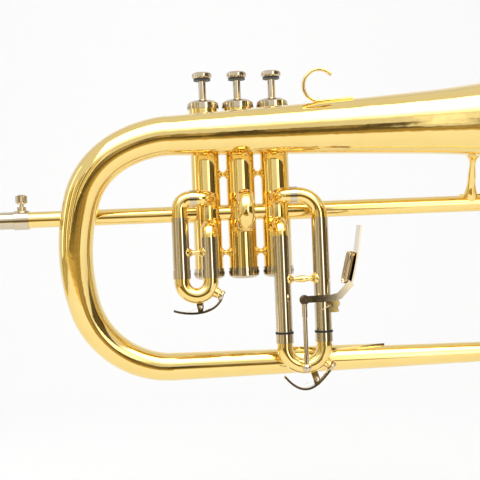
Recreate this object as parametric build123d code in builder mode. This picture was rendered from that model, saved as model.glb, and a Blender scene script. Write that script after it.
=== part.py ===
from build123d import *

import os
from math import atan2, cos, degrees, radians, sin, sqrt

os.makedirs("parts", exist_ok=True)

# A three-valve B-flat flugelhorn, in millimetres. The origin is on the middle valve's axis, at the height
# of the leadpipe. +X points to the bell's mouth, +Z up to the valve buttons, -Y to the player's right.

# ---- driving dimensions ----
casing_od = 21.4
casing_spacing = 4.8        # clear space between neighbouring casings
casing_bore = 18.2
casing_top = 80.0
casing_bottom = -46.0
running_gap = 0.05          # radial gap of every sliding or turning fit
free_gap = 0.3              # gap between pieces that move past each other without touching
through = 1.0               # how far a cut runs past the wall that it opens
solder_sink = 0.6          # how far the hook's strip is let into the bell's curve
tube_wall = 0.5

# windway ports in the casings
port_rise = 10.4            # slides 1 and 3: ports above and below the windway
slide_2_rise = 9.6

# bell, drawn on its own axis from the bow joint to the rim
bell_y = -30.0
bell_z = 56.0
bell_start_x = -51.4
bell_lift = 1.14            # degrees that the bell's axis rises towards the rim
bell_length = 314.4
bell_wall = 0.6
bell_stations = 24          # points at which the wall's thickness is laid off
rim_radius = 76.0
rim_wire_r = 1.8
rim_flat = 0.4              # depth of the flat land that the horn can stand on
bell_throat_r = 14.4
# the flare as (distance back from the rim's plane, outer radius)
bell_flare = [
    (220.4, 18.2), (146.4, 22.0), (89.4, 26.5), (50.4, 33.6), (30.4, 41.0), (16.4, 50.5), (7.4, 61.5),
]

# main bow: four tangent arcs in a plane that leans from the bell in to the leadpipe's plane
bow_lean_y = 27.0
bow_lean_z = 169.5
bow_arcs = [(82.0, 30.0), (58.0, 43.0), (150.0, 29.5)]
bow_last_radius = 65.5
bow_end_r = 10.4

# bottom tube, front crook, third-valve exit tube and leadpipe
crook_x = 192.5
crook_start_r = 6.25
crook_end_r = 7.4
leadpipe_od = 12.1
leadpipe_end_x = -169.5
exit_ferrule_length = 15.0
lead_ferrule_length = 5.0
socket_ferrule_wall = 0.95  # the two heavier ferrules, against the casings
joint_ferrule_length = 8.0
joint_ferrule_wall = 0.7
guard_start_x = 28.6
guard_length = 75.7
guard_width = 11.0
guard_thickness = 1.5

# caps
top_cap_wall = 1.05
top_cap_height = 6.8
top_cap_shoulder = 2.6      # height of the rounded edge on top
top_cap_crown = 0.9
top_cap_inside = 3.6        # thickness over the casing's mouth
top_cap_flat = 2.5          # flat land round the stem
bottom_cap_wall = 0.7
bottom_cap_height = 8.3
bottom_cap_shoulder = 2.2
bottom_cap_crown = 0.7
bottom_cap_flat = 3.0
cap_lip = 1.8               # how far the top cap reaches down over the casing
cap_skirt = 4.3             # how far the bottom cap reaches up over the casing
cap_floor = 1.8
vent_r = 1.5

# slides: tubes hang in a plane in front of the casings
slide_y = -24.0
sleeve_od = 12.3
sleeve_wall = 0.45
knuckle_radius = 7.7
slide_insert = 3.0          # how far each fixed crook goes into its sleeve
slide_1_spacing = 21.0
slide_1_left_top = -3.3
slide_1_right_top = -18.3
slide_1_sleeve_end = -40.9
slide_1_bow_z = -50.0
slide_3_spacing = 29.0
slide_3_elbow = 16.0
slide_3_left_top = -19.4
slide_3_right_top = -6.6
slide_3_sleeve_end = -89.4
slide_3_bow_z = -100.8
ring_height = 1.5           # O-ring
ring_thickness = 1.05
slide_ferrule_height = 6.6
slide_ferrule_wall = 0.75
leg_top_gap = 1.0           # between a leg's end and the fixed crook inside its sleeve
slide_2_sleeve_y = -31.0
slide_2_bow_y = -35.2
band_length = 5.2
band_wall = 0.6
stay_1_z = -29.0
stay_3_z = -51.4
baluster_zs = (29.0, -30.0)
# turned stays as (share of the length, radius)
baluster_radii = [(0, 3.9), (0.28, 3.6), (0.38, 2.1), (0.5, 1.8), (0.62, 2.1), (0.72, 3.6), (1, 3.9)]
stay_1_radii = [(0, 3.8), (0.3, 3.4), (0.4, 1.9), (0.5, 1.7), (0.6, 1.9), (0.7, 3.4), (1, 3.8)]
stay_3_radii = [
    (0, 4.0), (0.22, 3.6), (0.29, 1.9), (0.4, 2.3), (0.5, 2.7), (0.6, 2.3), (0.71, 1.9), (0.78, 3.6), (1, 4.0),
]

# pistons, stems and buttons
piston_gap = 0.04
piston_bottom = -28.0
piston_top = 70.0
piston_wall = 1.0
stem_d = 5.7
button_base_z = 101.5
button_r = 7.5
button_height = 4.2
pearl_r = 5.9
pearl_inset = 1.7
felt_height = 1.6
felt_r = 6.4
button_edge = 1.0           # bevels of the button's rim
pearl_crown = 0.6

# third-slide trigger
pivot_x = 63.2
pivot_z = -69.7
arm_reach = 23.0
arm_rise = 3.5
arm_back_y = -31.2
arm_thickness = 1.6
arm_height = 5.0
pivot_screw_r = 1.5
eye_r = 3.6
eye_thickness = 2.8
eye_gap = 0.45              # the lever's pin floats in the rod's eye, which takes up the arc of the lever
rod_r = 1.6
rod_sleeve_r = 1.95
rod_sleeve_length = 9.5
ball_r = 2.8
saddle_width = 16.0
saddle_thickness = 1.3
saddle_offset = 5.2         # the saddle's middle, behind the arm's back
# the finger saddle seen from the side, from the pivot: foot, bend and tip
saddle_points = [(12.6, 14.5), (17.4, 34.0), (21.0, 56.0)]
ball_stud_r = 1.8
ball_cap = 0.5              # the lower ball's socket, over the ball
eye_pin_head = 1.3
bracket_front_y = -28.5
bracket_back_y = -19.5
bracket_height = 11.5
bracket_width = 5.2
bracket_drop = 1.2
bracket_corner = 0.8
screw_head_height = 1.2

# water keys: lever in the slide's plane, hinged on a post under each bow
key_strip = 1.6
key_width = 4.6
key_pin_r = 0.9
key_ear_r = 1.9
key_post_width = 2.4
cup_r = 3.3
cup_height = 2.2
nipple_r = 2.4
nipple_height = 3.0
cork_gap = 0.9
key_1_nipple = -32.0        # angles of the nipples and hinges about their bow's centre, in degrees
key_1_hinge_angle = -84.0
key_1_hinge_height = 2.8    # from the outside of the bow
key_3_nipple = -39.0
key_3_hinge_angle = -72.6
key_3_hinge_height = 5.5

# mouthpipe, clamp and mouthpiece
clamp_length = 10.8
clamp_wall = 1.15
boss_height = 2.6
boss_wall = 1.7
mouthpipe_insert = 59.5
mouthpipe_bore_r = 4.2
receiver_step = 0.4         # how far the receiver stands out over the leadpipe
receiver_length = 11.6
receiver_ring_step = 1.1
receiver_ring_length = 16.0
screw_r = 1.7
screw_knob_r = 4.0
screw_knob_height = 7.0
screw_stem_top = 12.0
mouthpiece_cup_od = 27.0
mouthpiece_length = 70.0
shank_depth = 21.0
shank_tip_r = 4.6
shank_taper = 0.025         # radius per millimetre
shank_bore_edge = 0.9
cup_open_r = 8.2
cup_depth = 14.0
throat_r = 2.2
throat_length = 12.0

# post between the bell and the exit tube, and the stays behind the bell
brace_bell_x = 173.0
brace_tube_x = 176.1
brace_start = 0.3           # where the post begins, as a share of the way from the bell's axis; the bell trims it
brace_radii = [
    (0, 6.5), (0.143, 6.0), (0.229, 3.2), (0.486, 2.6), (0.714, 3.2), (0.814, 4.4), (0.943, 4.6), (1, 4.6),
]
diamond_half = 8.2
diamond_height = 0.9
hidden_stay_r = 3.5

# hook for the little finger
hook_strip = 2.2
hook_width = 7.0
hook_edge = 0.9
hook_radius = 11.3
hook_foot_x = 82.0
hook_turn_x = 58.0
hook_sweep = 235.0

# ---- values worked out from the driving dimensions ----
valve_pitch = casing_od + casing_spacing
valve_xs = [-valve_pitch, 0.0, valve_pitch]
casing_r = casing_od / 2
sleeve_r = sleeve_od / 2
sleeve_bore_r = sleeve_r - sleeve_wall
leg_r = sleeve_bore_r - running_gap
knuckle_r = sleeve_bore_r
port_r = knuckle_r - tube_wall
leadpipe_r = leadpipe_od / 2
slide_1_far_x = valve_xs[0] - slide_1_spacing
slide_3_far_x = valve_xs[2] + slide_3_spacing
slide_1_mid_x = valve_xs[0] - slide_1_spacing / 2
slide_3_mid_x = valve_xs[2] + slide_3_spacing / 2

bow_span = sqrt(bow_lean_y**2 + bow_lean_z**2)
lean_up = Vector(0, -bow_lean_y / bow_span, bow_lean_z / bow_span)
bow_plane = Plane(
    origin=(bell_start_x, bell_y, bell_z),
    x_dir=(1, 0, 0),
    z_dir=Vector(1, 0, 0).cross(lean_up),
)
bell_direction = Vector(1, 0, 0) * cos(radians(bell_lift)) + lean_up * sin(radians(bell_lift))
bell_origin = Vector(bell_start_x, bell_y, bell_z)
bell_plane = Plane(origin=bell_origin, x_dir=bell_direction, z_dir=bow_plane.z_dir)
bell_axis = Axis(bell_origin, bell_direction)


# ---- shared shapes, all used inside a part block ----
def ring_sketch(outer_r, inner_r):
    Circle(outer_r)
    Circle(inner_r, mode=Mode.SUBTRACT)


def tube_along(path, outer_r, inner_r):
    """A tube of one bore along a wire."""
    with BuildSketch(Plane(origin=path @ 0, z_dir=path % 0)) as section:
        ring_sketch(outer_r, inner_r)
    sweep(section.sketch, path=path)


def conical_tube(path, side, start_r, end_r, wall, stations):
    """A tube that widens evenly along a wire; side is a direction square to the wire everywhere."""
    sections = []
    for station in range(stations + 1):
        t = station / stations
        radius = start_r + (end_r - start_r) * t
        with BuildSketch(Plane(origin=path @ t, x_dir=side, z_dir=path % t)) as section:
            ring_sketch(radius, radius - wall)
        sections.append(section.sketch)
    loft(sections)


def cut_casing(x):
    """Trims a piece to the outside of the casing that stands at x."""
    with BuildSketch(Plane.XY.offset(casing_bottom)) as section:
        with Locations((x, 0)):
            Circle(casing_r)
    extrude(section.sketch, amount=casing_top - casing_bottom, mode=Mode.SUBTRACT)


def cut_leg(x, radius, low_z, high_z):
    """Trims a piece to the outside of an upright slide tube."""
    with BuildSketch(Plane.XY.offset(low_z)) as section:
        with Locations((x, slide_y)):
            Circle(radius)
    extrude(section.sketch, amount=high_z - low_z, mode=Mode.SUBTRACT)


def upright_tube(x, bottom_z, top_z, outer_r, inner_r):
    """A straight tube in the slides' plane."""
    with BuildSketch(Plane.XY.offset(bottom_z)) as section:
        with Locations((x, slide_y)):
            ring_sketch(outer_r, inner_r)
    extrude(section.sketch, amount=top_z - bottom_z)


def turned(start, end, side, radii):
    """A turned post from start to end; radii are (share of the length, radius) along it."""
    start = Vector(*start)
    along = Vector(*end) - start
    length = along.length
    points = [(share * length, radius) for share, radius in radii]
    with BuildSketch(Plane(origin=start, x_dir=along, z_dir=side)) as section:
        with BuildLine():
            Line((0, 0), points[0])
            Spline(*points)
            Line(points[-1], (length, 0))
            Line((length, 0), (0, 0))
        make_face()
    revolve(section.sketch, axis=Axis(start, along))


def turned_on_x(x, profile):
    """A piece turned about the windway's axis; profile is (distance along X, radius), first and last closed."""
    with BuildSketch(Plane.XZ) as section:
        with BuildLine():
            Polyline(*[(x + px, pr) for px, pr in profile], close=True)
        make_face()
    revolve(section.sketch, axis=Axis.X)


def hanging_bow(mid_x, spacing, bow_z, start_z):
    """The U-shaped bow at the foot of a hanging slide."""
    half = spacing / 2
    with BuildLine(Plane.XZ.offset(-slide_y)) as path:
        Line((mid_x - half, start_z), (mid_x - half, bow_z))
        RadiusArc((mid_x - half, bow_z), (mid_x + half, bow_z), -half)
        Line((mid_x + half, bow_z), (mid_x + half, start_z))
    tube_along(path.wires()[0], knuckle_r, port_r)


# ---- bell, its rim wire, and a solid blank that trims what is soldered to the bell ----
rim_centre = (bell_length - rim_wire_r + rim_flat, rim_radius - rim_wire_r)

with BuildPart() as bell_rim:
    with BuildSketch(bell_plane):
        with Locations(rim_centre):
            Circle(rim_wire_r)
        with Locations((bell_length + rim_wire_r, rim_radius)):
            Rectangle(2 * rim_wire_r, 4 * rim_wire_r, mode=Mode.SUBTRACT)
    revolve(axis=bell_axis)
bell_rim.part.label = "bell_rim"
export_step(bell_rim.part, "parts/bell_rim.step")

bell_points = [(0.0, bell_throat_r)] + [(bell_length - back, r) for back, r in bell_flare] + [rim_centre]


def bell_radius(distance):
    """The bell's outer radius at a distance from the bow joint, between the outline's points."""
    for (x0, r0), (x1, r1) in zip(bell_points, bell_points[1:]):
        if distance <= x1:
            return r0 + (r1 - r0) * (distance - x0) / (x1 - x0)


with BuildPart() as bell_blank:
    with BuildSketch(bell_plane):
        with BuildLine():
            Spline(*bell_points)
            Line(bell_points[-1], (bell_points[-1][0], 0))
            Line((bell_points[-1][0], 0), (0, 0))
            Line((0, 0), bell_points[0])
        make_face()
    revolve(axis=bell_axis)

with BuildPart() as bell:
    with BuildSketch(bell_plane):
        with BuildLine():
            outside = Spline(*bell_points)
            inner_points = []
            for step in range(bell_stations + 1):
                point = outside @ (step / bell_stations)
                slope = outside % (step / bell_stations)
                inner_points.append((point.X + bell_wall * slope.Y, point.Y - bell_wall * slope.X))
            inside = Spline(*inner_points)
            Line(outside @ 0, inside @ 0)
            Line(outside @ 1, inside @ 1)
        make_face()
    revolve(axis=bell_axis)
    add(bell_rim.part, mode=Mode.SUBTRACT)
bell.part.label = "bell"
export_step(bell.part, "parts/bell.step")

# ---- main bow ----
with BuildLine(bow_plane) as bow_path:
    start = (0, 0)
    heading = 180 + bell_lift
    for radius, turn in bow_arcs + [(bow_last_radius, 180 - bell_lift - sum(turn for _, turn in bow_arcs))]:
        arc = JernArc(start, (cos(radians(heading)), sin(radians(heading))), radius, turn)
        heading += turn
        start = bow_plane.to_local_coords(arc @ 1)
        start = (start.X, start.Y)
bow_wire = bow_path.wires()[0]
bow_end = bow_wire @ 1

with BuildPart() as main_bow:
    conical_tube(bow_wire, bow_plane.z_dir, bell_throat_r, bow_end_r, tube_wall, 16)
main_bow.part.label = "main_bow"
export_step(main_bow.part, "parts/main_bow.step")

# ---- bottom tube, with the guard plate on its top ----
bottom_y = bow_end.Y
bottom_z = bow_end.Z
bottom_length = crook_x - bow_end.X


def bottom_radius(x):
    return bow_end_r + (crook_end_r - bow_end_r) * (x - bow_end.X) / bottom_length


with BuildLine() as bottom_path:
    Line(bow_end, (crook_x, bottom_y, bottom_z))

with BuildPart() as bottom_tube:
    conical_tube(bottom_path.wires()[0], (0, 1, 0), bow_end_r, crook_end_r, tube_wall, 1)
bottom_tube.part.label = "bottom_tube"
export_step(bottom_tube.part, "parts/bottom_tube.step")

guard_end_x = guard_start_x + guard_length
with BuildPart() as guard_plate:
    for x in (guard_start_x, guard_end_x):
        with BuildSketch(Plane.YZ.offset(x)):
            with Locations((bottom_y, bottom_z)):
                Circle(bottom_radius(x) + guard_thickness)
    loft()
    for x in (guard_start_x, guard_end_x):
        with BuildSketch(Plane.YZ.offset(x)):
            with Locations((bottom_y, bottom_z)):
                Circle(bottom_radius(x))
    loft(mode=Mode.SUBTRACT)
    with BuildSketch(Plane.XY.offset(bottom_z)):
        with BuildLine():
            ThreePointArc(
                (guard_start_x, bottom_y),
                (guard_start_x + guard_length / 2, bottom_y + guard_width / 2),
                (guard_end_x, bottom_y),
            )
            ThreePointArc(
                (guard_end_x, bottom_y),
                (guard_start_x + guard_length / 2, bottom_y - guard_width / 2),
                (guard_start_x, bottom_y),
            )
        make_face()
    extrude(amount=2 * bow_end_r, mode=Mode.INTERSECT)
guard_plate.part.label = "guard_plate"
export_step(guard_plate.part, "parts/guard_plate.step")

# ---- front crook, from the third-valve exit tube down to the bottom tube ----
crook_drop = Vector(0, -bottom_y, -bottom_z)
crook_radius = crook_drop.length / 2
crook_plane = Plane(
    origin=(crook_x, 0, 0), x_dir=(1, 0, 0), z_dir=Vector(1, 0, 0).cross(crook_drop)
)
with BuildLine(crook_plane) as crook_path:
    JernArc((0, 0), (1, 0), crook_radius, -180)

with BuildPart() as front_crook:
    conical_tube(crook_path.wires()[0], crook_plane.z_dir, crook_start_r, crook_end_r, tube_wall, 12)
front_crook.part.label = "front_crook"
export_step(front_crook.part, "parts/front_crook.step")

# ---- straight windway tubes at the height of the ports ----
with BuildPart() as exit_tube:
    with BuildSketch(Plane.YZ.offset(valve_xs[2] + casing_r / 2)):
        ring_sketch(crook_start_r, crook_start_r - tube_wall)
    extrude(amount=crook_x - valve_xs[2] - casing_r / 2)
    cut_casing(valve_xs[2])
exit_tube.part.label = "exit_tube"
export_step(exit_tube.part, "parts/exit_tube.step")

clamp_mid_x = leadpipe_end_x + clamp_length / 2
with BuildPart() as leadpipe:
    with BuildSketch(Plane.YZ.offset(leadpipe_end_x)):
        ring_sketch(leadpipe_r, leadpipe_r - tube_wall)
    extrude(amount=valve_xs[0] - casing_r / 2 - leadpipe_end_x)
    cut_casing(valve_xs[0])
    with BuildSketch(Plane.XY):
        with Locations((clamp_mid_x, 0)):
            Circle(screw_r + running_gap)
    extrude(amount=leadpipe_r + through, mode=Mode.SUBTRACT)
leadpipe.part.label = "leadpipe"
export_step(leadpipe.part, "parts/leadpipe.step")

# Ferrules: rings soldered over the joints.
with BuildPart() as tube_ferrules:
    for start_x, end_x, inner_r, casing_x in (
        (valve_xs[2] + casing_r / 2, valve_xs[2] + casing_r + exit_ferrule_length, crook_start_r, valve_xs[2]),
        (valve_xs[0] - casing_r - lead_ferrule_length, valve_xs[0] - casing_r / 2, leadpipe_r, valve_xs[0]),
    ):
        with BuildSketch(Plane.YZ.offset(start_x)):
            ring_sketch(inner_r + socket_ferrule_wall, inner_r)
        extrude(amount=end_x - start_x)
        cut_casing(casing_x)
    ferrule_x = crook_x - joint_ferrule_length
    with BuildSketch(Plane.YZ.offset(ferrule_x)):
        ring_sketch(crook_start_r + joint_ferrule_wall, crook_start_r)
    extrude(amount=joint_ferrule_length)
    for wall, mode in ((joint_ferrule_wall, Mode.ADD), (0, Mode.SUBTRACT)):
        for x in (ferrule_x, crook_x):
            with BuildSketch(Plane.YZ.offset(x)):
                with Locations((bottom_y, bottom_z)):
                    Circle(bottom_radius(x) + wall)
        loft(mode=mode)
tube_ferrules.part.label = "tube_ferrules"
export_step(tube_ferrules.part, "parts/tube_ferrules.step")

# ---- valve casings with their ports ----
casing_rises = [port_rise, slide_2_rise, port_rise]
for number, (x, rise) in enumerate(zip(valve_xs, casing_rises), 1):
    with BuildPart() as casing:
        with BuildSketch(Plane.XY.offset(casing_bottom)):
            with Locations((x, 0)):
                ring_sketch(casing_r, casing_bore / 2)
        extrude(amount=casing_top - casing_bottom)
        with BuildSketch(Plane.YZ.offset(x)):
            Circle(port_r)
        extrude(amount=casing_r + through, both=True, mode=Mode.SUBTRACT)
        with BuildSketch(Plane.XZ):
            with Locations((x, rise), (x, -rise)):
                Circle(port_r)
        extrude(amount=casing_r + through, mode=Mode.SUBTRACT)
    casing.part.label = f"casing_{number}"
    export_step(casing.part, f"parts/casing_{number}.step")

# ---- caps: each is turned, and screws over the end of its casing ----
stem_hole_r = stem_d / 2 + free_gap
top_cap_bottom = casing_top - cap_lip
top_cap_top = top_cap_bottom + top_cap_height
with BuildPart() as top_caps:
    for x in valve_xs:
        edge = x + casing_r + top_cap_wall
        land = (x + stem_hole_r + top_cap_flat, top_cap_top)
        shoulder = (edge, top_cap_top - top_cap_shoulder)
        inside_z = top_cap_top - top_cap_inside
        with BuildSketch(Plane.XZ):
            with BuildLine():
                Polyline(
                    shoulder, (edge, top_cap_bottom), (x + casing_r, top_cap_bottom),
                    (x + casing_r, casing_top), (x + casing_bore / 2, casing_top), (x + casing_bore / 2, inside_z),
                    (x + stem_hole_r, inside_z), (x + stem_hole_r, top_cap_top), land,
                )
                Spline(land, (edge - bottom_cap_shoulder, top_cap_top - top_cap_crown), shoulder)
            make_face()
        revolve(axis=Axis((x, 0, 0), (0, 0, 1)))
top_caps.part.label = "top_caps"
export_step(top_caps.part, "parts/top_caps.step")

bottom_cap_top = casing_bottom + cap_skirt
bottom_cap_bottom = bottom_cap_top - bottom_cap_height
with BuildPart() as bottom_caps:
    for x in valve_xs:
        edge = x + casing_r + bottom_cap_wall
        land = (x + vent_r + bottom_cap_flat, bottom_cap_bottom)
        shoulder = (edge, bottom_cap_bottom + bottom_cap_shoulder)
        floor_z = bottom_cap_bottom + cap_floor
        with BuildSketch(Plane.XZ):
            with BuildLine():
                Polyline(
                    shoulder, (edge, bottom_cap_top), (x + casing_r, bottom_cap_top),
                    (x + casing_r, casing_bottom), (x + casing_bore / 2, casing_bottom), (x + casing_bore / 2, floor_z),
                    (x + vent_r, floor_z), (x + vent_r, bottom_cap_bottom), land,
                )
                Spline(land, (edge - bottom_cap_shoulder, bottom_cap_bottom + bottom_cap_crown), shoulder)
            make_face()
        revolve(axis=Axis((x, 0, 0), (0, 0, 1)))
bottom_caps.part.label = "bottom_caps"
export_step(bottom_caps.part, "parts/bottom_caps.step")

# ---- what joins the casings: turned stays, and the short windway tubes ----
with BuildPart() as casing_stays:
    for x in valve_xs[:2]:
        middle = x + valve_pitch / 2
        for z in baluster_zs:
            turned((middle - casing_spacing, 0, z), (middle + casing_spacing, 0, z), (0, 0, 1), baluster_radii)
    for x in valve_xs:
        cut_casing(x)
casing_stays.part.label = "casing_stays"
export_step(casing_stays.part, "parts/casing_stays.step")

with BuildPart() as port_tubes:
    for x in valve_xs[:2]:
        with BuildSketch(Plane.YZ.offset(x + casing_r / 2)):
            ring_sketch(sleeve_r, port_r)
        extrude(amount=valve_pitch - casing_r)
    for x in valve_xs:
        cut_casing(x)
port_tubes.part.label = "port_tubes"
export_step(port_tubes.part, "parts/port_tubes.step")

# ---- fixed crooks of slides 1 and 3, and the knuckles under them ----
inside_y = -casing_r / 2
with BuildPart() as slide_1_crook:
    with BuildLine() as path:
        FilletPolyline(
            (valve_xs[0], inside_y, port_rise), (valve_xs[0], slide_y, port_rise),
            (slide_1_far_x, slide_y, port_rise), (slide_1_far_x, slide_y, slide_1_left_top - slide_insert),
            radius=knuckle_radius,
        )
    tube_along(path.wires()[0], knuckle_r, port_r)
    cut_casing(valve_xs[0])
slide_1_crook.part.label = "slide_1_crook"
export_step(slide_1_crook.part, "parts/slide_1_crook.step")

with BuildPart() as slide_3_crook:
    with BuildLine() as path:
        FilletPolyline(
            (valve_xs[2], inside_y, port_rise), (valve_xs[2], slide_y, port_rise),
            (slide_3_far_x, slide_y, port_rise), (slide_3_far_x, slide_y, slide_3_right_top - slide_insert),
            radius=[knuckle_radius, slide_3_elbow],
        )
    tube_along(path.wires()[0], knuckle_r, port_r)
    cut_casing(valve_xs[2])
slide_3_crook.part.label = "slide_3_crook"
export_step(slide_3_crook.part, "parts/slide_3_crook.step")

with BuildPart() as lower_knuckles:
    for x, top in ((valve_xs[0], slide_1_right_top), (valve_xs[2], slide_3_left_top)):
        with BuildLine() as path:
            FilletPolyline(
                (x, inside_y, -port_rise), (x, slide_y, -port_rise), (x, slide_y, top - slide_insert),
                radius=knuckle_radius,
            )
        tube_along(path.wires()[0], knuckle_r, port_r)
        cut_casing(x)
lower_knuckles.part.label = "lower_knuckles"
export_step(lower_knuckles.part, "parts/lower_knuckles.step")

# Nickel bands over the joints in the crooks' level runs.
band_1_x = slide_1_far_x + knuckle_radius
band_3_x = slide_3_far_x - slide_3_elbow - band_length
with BuildPart() as crook_bands:
    for x in (band_1_x, band_3_x):
        with BuildSketch(Plane.YZ.offset(x)):
            with Locations((slide_y, port_rise)):
                ring_sketch(knuckle_r + band_wall, knuckle_r)
        extrude(amount=band_length)
crook_bands.part.label = "crook_bands"
export_step(crook_bands.part, "parts/crook_bands.step")

# ---- nickel outer sleeves ----
with BuildPart() as slide_1_sleeves:
    upright_tube(slide_1_far_x, slide_1_sleeve_end, slide_1_left_top, sleeve_r, sleeve_bore_r)
    upright_tube(valve_xs[0], slide_1_sleeve_end, slide_1_right_top, sleeve_r, sleeve_bore_r)
slide_1_sleeves.part.label = "slide_1_sleeves"
export_step(slide_1_sleeves.part, "parts/slide_1_sleeves.step")

with BuildPart() as slide_3_sleeves:
    upright_tube(valve_xs[2], slide_3_sleeve_end, slide_3_left_top, sleeve_r, sleeve_bore_r)
    upright_tube(slide_3_far_x, slide_3_sleeve_end, slide_3_right_top, sleeve_r, sleeve_bore_r)
slide_3_sleeves.part.label = "slide_3_sleeves"
export_step(slide_3_sleeves.part, "parts/slide_3_sleeves.step")

with BuildPart() as slide_2_sleeves:
    with BuildSketch(Plane.XZ.offset(casing_r / 2)):
        with Locations((0, slide_2_rise), (0, -slide_2_rise)):
            ring_sketch(sleeve_r, sleeve_bore_r)
    extrude(amount=-slide_2_sleeve_y - casing_r / 2)
    cut_casing(valve_xs[1])
slide_2_sleeves.part.label = "slide_2_sleeves"
export_step(slide_2_sleeves.part, "parts/slide_2_sleeves.step")

# ---- turned stays across the sleeves ----
with BuildPart() as slide_stays:
    turned((slide_1_far_x, slide_y, stay_1_z), (valve_xs[0], slide_y, stay_1_z), (0, 0, 1), stay_1_radii)
    turned((valve_xs[2], slide_y, stay_3_z), (slide_3_far_x, slide_y, stay_3_z), (0, 0, 1), stay_3_radii)
    for x in (slide_1_far_x, valve_xs[0]):
        cut_leg(x, sleeve_r, slide_1_sleeve_end, slide_1_left_top)
    for x in (valve_xs[2], slide_3_far_x):
        cut_leg(x, sleeve_r, slide_3_sleeve_end, slide_3_right_top)
slide_stays.part.label = "slide_stays"
export_step(slide_stays.part, "parts/slide_stays.step")

# ---- slide 1: legs, bow and ferrules ----
slide_1_ferrule_top = slide_1_sleeve_end - free_gap
slide_1_joint_z = slide_1_ferrule_top - slide_ferrule_height / 2
with BuildPart() as slide_1_legs:
    for x, top in ((slide_1_far_x, slide_1_left_top), (valve_xs[0], slide_1_right_top)):
        upright_tube(x, slide_1_joint_z, top - slide_insert - leg_top_gap, leg_r, port_r)
slide_1_legs.part.label = "slide_1_legs"
export_step(slide_1_legs.part, "parts/slide_1_legs.step")

with BuildPart() as slide_1_bow:
    hanging_bow(slide_1_mid_x, slide_1_spacing, slide_1_bow_z, slide_1_joint_z)
slide_1_bow.part.label = "slide_1_bow"
export_step(slide_1_bow.part, "parts/slide_1_bow.step")

with BuildPart() as slide_1_ferrules:
    for x in (slide_1_far_x, valve_xs[0]):
        upright_tube(x, slide_1_ferrule_top - slide_ferrule_height, slide_1_ferrule_top,
                     knuckle_r + slide_ferrule_wall, knuckle_r)
slide_1_ferrules.part.label = "slide_1_ferrules"
export_step(slide_1_ferrules.part, "parts/slide_1_ferrules.step")

# ---- slide 2: two short legs and an upright bow that points forward ----
slide_2_joint_y = slide_2_sleeve_y - free_gap
with BuildPart() as slide_2_legs:
    with BuildSketch(Plane.XZ.offset(casing_r + leg_top_gap)):
        with Locations((0, slide_2_rise), (0, -slide_2_rise)):
            ring_sketch(leg_r, port_r)
    extrude(amount=-slide_2_joint_y - casing_r - leg_top_gap)
slide_2_legs.part.label = "slide_2_legs"
export_step(slide_2_legs.part, "parts/slide_2_legs.step")

with BuildPart() as slide_2_bow:
    with BuildLine(Plane.YZ) as path:
        Line((slide_2_joint_y, slide_2_rise), (slide_2_bow_y, slide_2_rise))
        RadiusArc((slide_2_bow_y, slide_2_rise), (slide_2_bow_y, -slide_2_rise), -slide_2_rise)
        Line((slide_2_bow_y, -slide_2_rise), (slide_2_joint_y, -slide_2_rise))
    tube_along(path.wires()[0], sleeve_r, port_r)
slide_2_bow.part.label = "slide_2_bow"
export_step(slide_2_bow.part, "parts/slide_2_bow.step")

# ---- slide 3: legs, bow, O-rings and ferrules ----
ring_top = slide_3_sleeve_end - free_gap
slide_3_ferrule_top = ring_top - ring_height
slide_3_joint_z = slide_3_ferrule_top - slide_ferrule_height / 2
with BuildPart() as slide_3_legs:
    for x, top in ((valve_xs[2], slide_3_left_top), (slide_3_far_x, slide_3_right_top)):
        upright_tube(x, slide_3_joint_z, top - slide_insert - leg_top_gap, leg_r, port_r)
slide_3_legs.part.label = "slide_3_legs"
export_step(slide_3_legs.part, "parts/slide_3_legs.step")

with BuildPart() as slide_3_bow:
    hanging_bow(slide_3_mid_x, slide_3_spacing, slide_3_bow_z, slide_3_joint_z)
slide_3_bow.part.label = "slide_3_bow"
export_step(slide_3_bow.part, "parts/slide_3_bow.step")

with BuildPart() as slide_3_ferrules:
    for x in (valve_xs[2], slide_3_far_x):
        upright_tube(x, slide_3_ferrule_top - slide_ferrule_height, slide_3_ferrule_top,
                     knuckle_r + slide_ferrule_wall, knuckle_r)
slide_3_ferrules.part.label = "slide_3_ferrules"
export_step(slide_3_ferrules.part, "parts/slide_3_ferrules.step")

with BuildPart() as slide_3_rings:
    for x in (valve_xs[2], slide_3_far_x):
        upright_tube(x, slide_3_ferrule_top, ring_top, leg_r + ring_thickness, leg_r)
slide_3_rings.part.label = "slide_3_rings"
export_step(slide_3_rings.part, "parts/slide_3_rings.step")

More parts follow.
